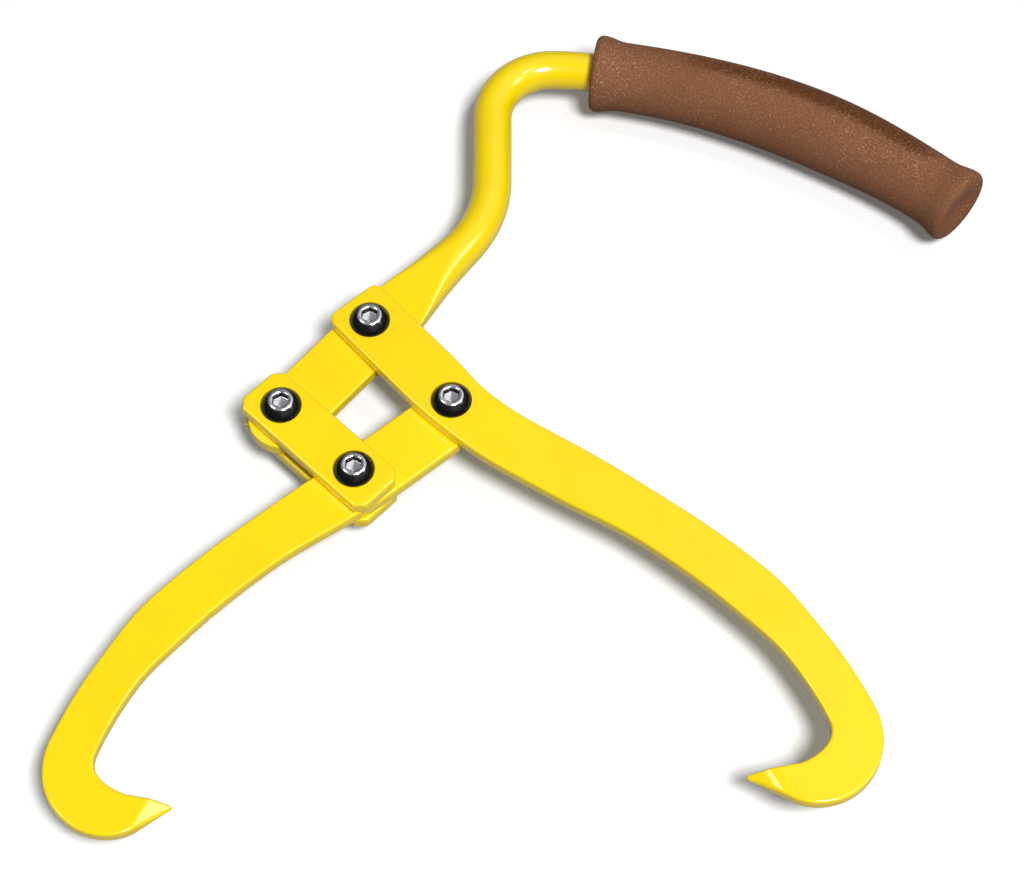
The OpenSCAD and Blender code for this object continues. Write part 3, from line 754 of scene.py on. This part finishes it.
# A nut's chamfers are pairs: how far past the named radius and how far below or above the named height
nutShape = {
    "flats": 13.0, "height": 8.0, "hexHeight": 6.2, "collar": 5.9, "bore": 4.05, "ring": 5.2,
    "ringDepth": 2.5, "ringInset": 0.3, "mouth": 0.35, "slack": 0.05,
    "top": [(-0.1, 0.0), (0.15, 0.06)], "topChamfer": 0.6, "foot": [(0.2, 0.12), (-0.15, 0.0)],
    "footChamfer": 0.9, "collarTop": [(0.25, 0.02), (0.0, 0.3)],
    "collarEnd": [(0.0, 0.7), (-0.12, 0.3), (-0.4, 0.05), (-0.55, 0.0)],
    "ringMouth": [(0.05, 0.0), (0.0, 0.1)], "steps": 96,
}
ringShape = {"innerEdge": 0.15, "outerEdge": 0.2, "steps": 72}


def screwPiece(name, node, body, centre, floor):
    # Rings from the middle of the socket's floor, up its walls, over the dome and down the shank
    shape = screwShape
    seat = layout["topLayer"] + layout["plate"] + shape["play"]
    top, tip = seat + shape["height"], floor + shape["endInset"]
    bottom = top - shape["socketDepth"]
    # The dome is part of a sphere through the rim of the flat and the head's edge, whose centre lies sag
    # below that edge
    rise = shape["height"] - shape["edge"]
    sag = (shape["head"] ** 2 - shape["flat"] ** 2 - rise ** 2) / (2 * rise)
    sphere = math.hypot(shape["head"], sag)
    dome = np.linspace(math.asin((sag + rise) / sphere), math.asin(sag / sphere), 14)
    angle = np.linspace(0, 2 * np.pi, shape["steps"], endpoint=False)
    wall = hexEdge(shape["socket"], angle)
    paintedShine, paintedSocketShade, dark, endMark = (shape[key] for key in ("paintedShine", "paintedSocketShade", "dark", "endMark"))
    # The socket floor, rim, flat top and the dome's first two rows carry the painted reflection, and the
    # socket walls carry the painted shade
    rows = [
        (wall * shape["coneShare"], bottom - shape["coneDepth"], paintedShine),
        (wall * shape["floorShare"], bottom, paintedShine),
        (wall, bottom + shape["floorRise"], paintedSocketShade),
        (wall, top - shape["wallDrop"], paintedSocketShade),
        (wall + (shape["rim"] - wall) * shape["rimShare"], top - shape["rimDrop"], shape["paintedLight"]),
        (shape["rim"], top - shape["crestDrop"], paintedShine),
        (shape["rim"] + shape["crest"], top, paintedShine),
        (shape["flat"] - shape["bevel"], top, paintedShine),
    ]
    rows += [
        (sphere * math.cos(a), seat + shape["edge"] - sag + sphere * math.sin(a), paintedShine if i < 2 else dark)
        for i, a in enumerate(dome)
    ]
    rows += [
        (shape["head"], seat + shape["seatBevel"], dark),
        (shape["head"] - shape["bevel"], seat, dark),
        (shape["shank"] + shape["fillet"], seat, dark),
        (shape["shank"], seat - shape["fillet"], dark),
        (shape["shank"], tip + shape["endChamfer"], endMark),
        (shape["shank"] - shape["endChamfer"], tip, endMark),
    ]
    rings = np.stack([
        np.stack([
            centre[0] + radius * np.cos(angle), centre[1] + radius * np.sin(angle), np.full_like(angle, z),
        ], axis=-1)
        for radius, z, mark in rows
    ])
    piece = gridPiece(name, rings, marks=[mark for radius, z, mark in rows])
    return settle(piece, node, body, screwSteel, 35)


def washerPiece(name, node, body, centre, under):
    # A flat ring with bevelled edges, from its upper face under the plates downwards
    shape = washerShape
    low, e, inner, outer = under - shape["thickness"], shape["edge"], shape["inner"], shape["outer"]
    corner = e * shape["corner"]
    profile = [
        (inner, low + e / 2), (inner + e / 2, low),
        (outer - e, low), (outer - corner, low + corner), (outer, low + e),
        (outer, under - e), (outer - corner, under - corner), (outer - e, under),
        (inner + e / 2, under), (inner, under - e / 2),
    ]
    return settle(turned(name, centre, profile, shape["steps"]), node, body, zinc)


def nutPiece(name, node, body, centre, under):
    # A hexagon limited by a cone at both ends, with a rounded collar that holds the nylon ring
    shape = nutShape
    low, hexLow, flat = under - shape["height"], under - shape["hexHeight"], shape["flats"] / 2
    corner, bore, ring = flat / math.cos(math.pi / 6) + shape["slack"], shape["bore"], shape["ring"]
    ringTop = low + shape["ringDepth"]
    profile = [
        (bore + shape["mouth"], under),
        *((flat + past, under - drop) for past, drop in shape["top"]),
        (corner, under - shape["topChamfer"]),
        (corner, hexLow + shape["footChamfer"]),
        *((flat + past, hexLow + lift) for past, lift in shape["foot"]),
        *((shape["collar"] + past, hexLow - drop) for past, drop in shape["collarTop"]),
        *((shape["collar"] + past, low + lift) for past, lift in shape["collarEnd"]),
        *((ring + past, low + lift) for past, lift in shape["ringMouth"]),
        (ring, ringTop), (bore, ringTop), (bore, under - shape["mouth"]),
    ]
    piece = turned(name, centre, profile, shape["steps"], flats=shape["flats"])
    return settle(piece, node, body, zinc, 30)


def ringPiece(name, node, body, centre, under):
    # The nylon ring fills the nut's collar from its recess down to just inside the collar's end
    low = under - nutShape["height"] + nutShape["ringInset"]
    high = under - nutShape["height"] + nutShape["ringDepth"]
    inner, outer = nutShape["bore"], nutShape["ring"]
    innerEdge, outerEdge = ringShape["innerEdge"], ringShape["outerEdge"]
    profile = [
        (inner, low + innerEdge), (inner + innerEdge, low),
        (outer - outerEdge, low), (outer, low + outerEdge), (outer, high), (inner, high),
    ]
    return settle(turned(name, centre, profile, ringShape["steps"]), node, body, nylon)


pivots = {
    "handlePivot": ("handle_pivot", "handle", "midLayer"),
    "jawPivot": ("jaw_pivot", "right_jaw", "midLayer"),
    "handleLink": ("handle_link", "handle", "lowLayer"),
    "jawLink": ("jaw_link", "left_jaw", "lowLayer"),
}
for pivot, (node, body, layer) in pivots.items():
    centre, under = layout[pivot], layout[layer]
    nutTop = under - washerShape["thickness"]
    screwPiece(pivot + "Screw", node + "_screw", body, centre, nutTop - nutShape["height"])
    washerPiece(pivot + "Washer", node + "_washer", body, centre, under)
    nutPiece(pivot + "Nut", node + "_nut", body, centre, nutTop)
    ringPiece(pivot + "Ring", node + "_ring", body, centre, nutTop)
print("fasteners made")


# Studio

# In metres. The camera sees the floor white, gloss sees the share floorGloss of that white, and all other
# light falls on the darker floorTone. The room that gloss sees is brighter overhead and to the right.
studio = {
    "target": (0.05288, 0.01652, 0.0173), "distance": 0.952, "elevation": 60, "focalPixels": 2800,
    "pictureWidth": 1024, "sensor": 36, "floor": 4.0, "floorHeight": -0.0003, "floorTone": 0.22,
    "floorGloss": 0.35, "lift": 0.065, "ambient": 0.2, "roomHeight": (0.1, 0.9), "roomSide": (-0.08, 0.14),
    "roomLeast": 0.2, "roomSideGain": 0.7, "roomGlow": 0.08,
}
lamps = {
    "key": {"place": (0.76, -1.22, 2.72), "size": (0.80, 0.80), "power": 85.0},
    "top": {"place": (1.10, 0.05, 2.62), "size": (0.20, 0.16), "power": 5.5},
}
# Bright parts of the sky, as ranges of a direction's x and y, placed where the sloping points mirror them
softBoxes = [
    {"side": (0.62, 0.77), "depth": (-0.16, 0.0), "strength": 7.0},
    {"side": (-0.55, -0.38), "depth": (-0.02, 0.12), "strength": 8.0},
]


def grey(value):
    # A shader's colour with three equal values
    return (value, value, value, 1.0)


def makeFloor():
    # A flat square just below the lock nuts
    shader = Shader("paleFloor")
    camera, glossy, through = (
        shader.node("ShaderNodeLightPath", out="Is " + kind + " Ray")
        for kind in ("Camera", "Glossy", "Transmission")
    )
    seen = camera + glossy * studio["floorGloss"] + through
    shader.finish({
        "Base Color": shader.blend(seen, grey(studio["floorTone"]), grey(1.0)),
        "Roughness": 0.9,
        "Specular IOR Level": 0.0,
        "Emission Color": shader.blend(seen, grey(0.0), grey(studio["lift"])),
        "Emission Strength": 1.0,
    })
    size, z = studio["floor"], studio["floorHeight"]
    corners = [(-size, -size, z), (size, -size, z), (size, size, z), (-size, size, z)]
    mesh = bpy.data.meshes.new("floor")
    mesh.from_pydata(corners, [], [(0, 1, 2, 3)])
    mesh.materials.append(shader.owner)
    floor = bpy.data.objects.new("floor", mesh)
    bpy.context.scene.collection.objects.link(floor)


def makeWorld():
    # White for the camera, a room with soft boxes for gloss and an even dim light for all else
    world = bpy.data.worlds.new("studioWorld")
    bpy.context.scene.world = world
    shader = Shader("world", world)
    seen = shader.node("ShaderNodeLightPath", out="Is Camera Ray")
    glossy = shader.node("ShaderNodeLightPath", out="Is Glossy Ray")
    # What metals and gloss see: dim near the horizon, brighter overhead and to the right, and soft boxes
    towards = shader.node("ShaderNodeTexCoord", out="Generated")
    side, depth, height = (
        shader.node("ShaderNodeSeparateXYZ", None, {"Vector": towards}, out=axis) for axis in "XYZ"
    )
    room = studio["roomLeast"] + shader.between(side, *studio["roomSide"]) * studio["roomSideGain"]
    room = shader.between(height, *studio["roomHeight"]) * room + studio["roomGlow"]
    for box in softBoxes:
        glow = shader.window(side, *box["side"]) * shader.window(depth, *box["depth"])
        room = room + glow * box["strength"]
    ambient = studio["ambient"]
    strength = seen * (1 - ambient) + glossy * (room - ambient) + ambient
    back = shader.node("ShaderNodeBackground", None, {"Color": (1, 1, 1, 1), "Strength": strength})
    shader.node("ShaderNodeOutputWorld", None, {"Surface": back})


def makeLamps():
    # Round lamps that face the target: tilted by the arc cosine of how far they look down
    for name, lamp in lamps.items():
        data = bpy.data.lights.new(name + "Lamp", "AREA")
        data.shape = "ELLIPSE"
        data.size, data.size_y = lamp["size"]
        data.energy = lamp["power"]
        light = bpy.data.objects.new(name + "Lamp", data)
        bpy.context.scene.collection.objects.link(light)
        light.location = lamp["place"]
        aim = np.array(studio["target"]) - np.array(lamp["place"])
        aim = aim / np.linalg.norm(aim)
        light.rotation_euler = (math.acos(-aim[2]), 0, math.atan2(aim[1], aim[0]) - math.pi / 2)


def makeCamera():
    # The camera stands off from the target by the distance, raised by the angle of elevation
    data = bpy.data.cameras.new("camera")
    data.sensor_width = studio["sensor"]
    data.lens = studio["focalPixels"] / studio["pictureWidth"] * studio["sensor"]
    camera = bpy.data.objects.new("camera", data)
    bpy.context.scene.collection.objects.link(camera)
    tilt = math.radians(studio["elevation"])
    x, y, z = studio["target"]
    camera.location = (x, y - studio["distance"] * math.cos(tilt), z + studio["distance"] * math.sin(tilt))
    camera.rotation_euler = (math.pi / 2 - tilt, 0, 0)
    bpy.context.scene.camera = camera


makeFloor()
makeWorld()
makeLamps()
makeCamera()
bpy.context.scene.view_settings.view_transform = "Standard"
print("studio made")

bpy.context.view_layer.update()
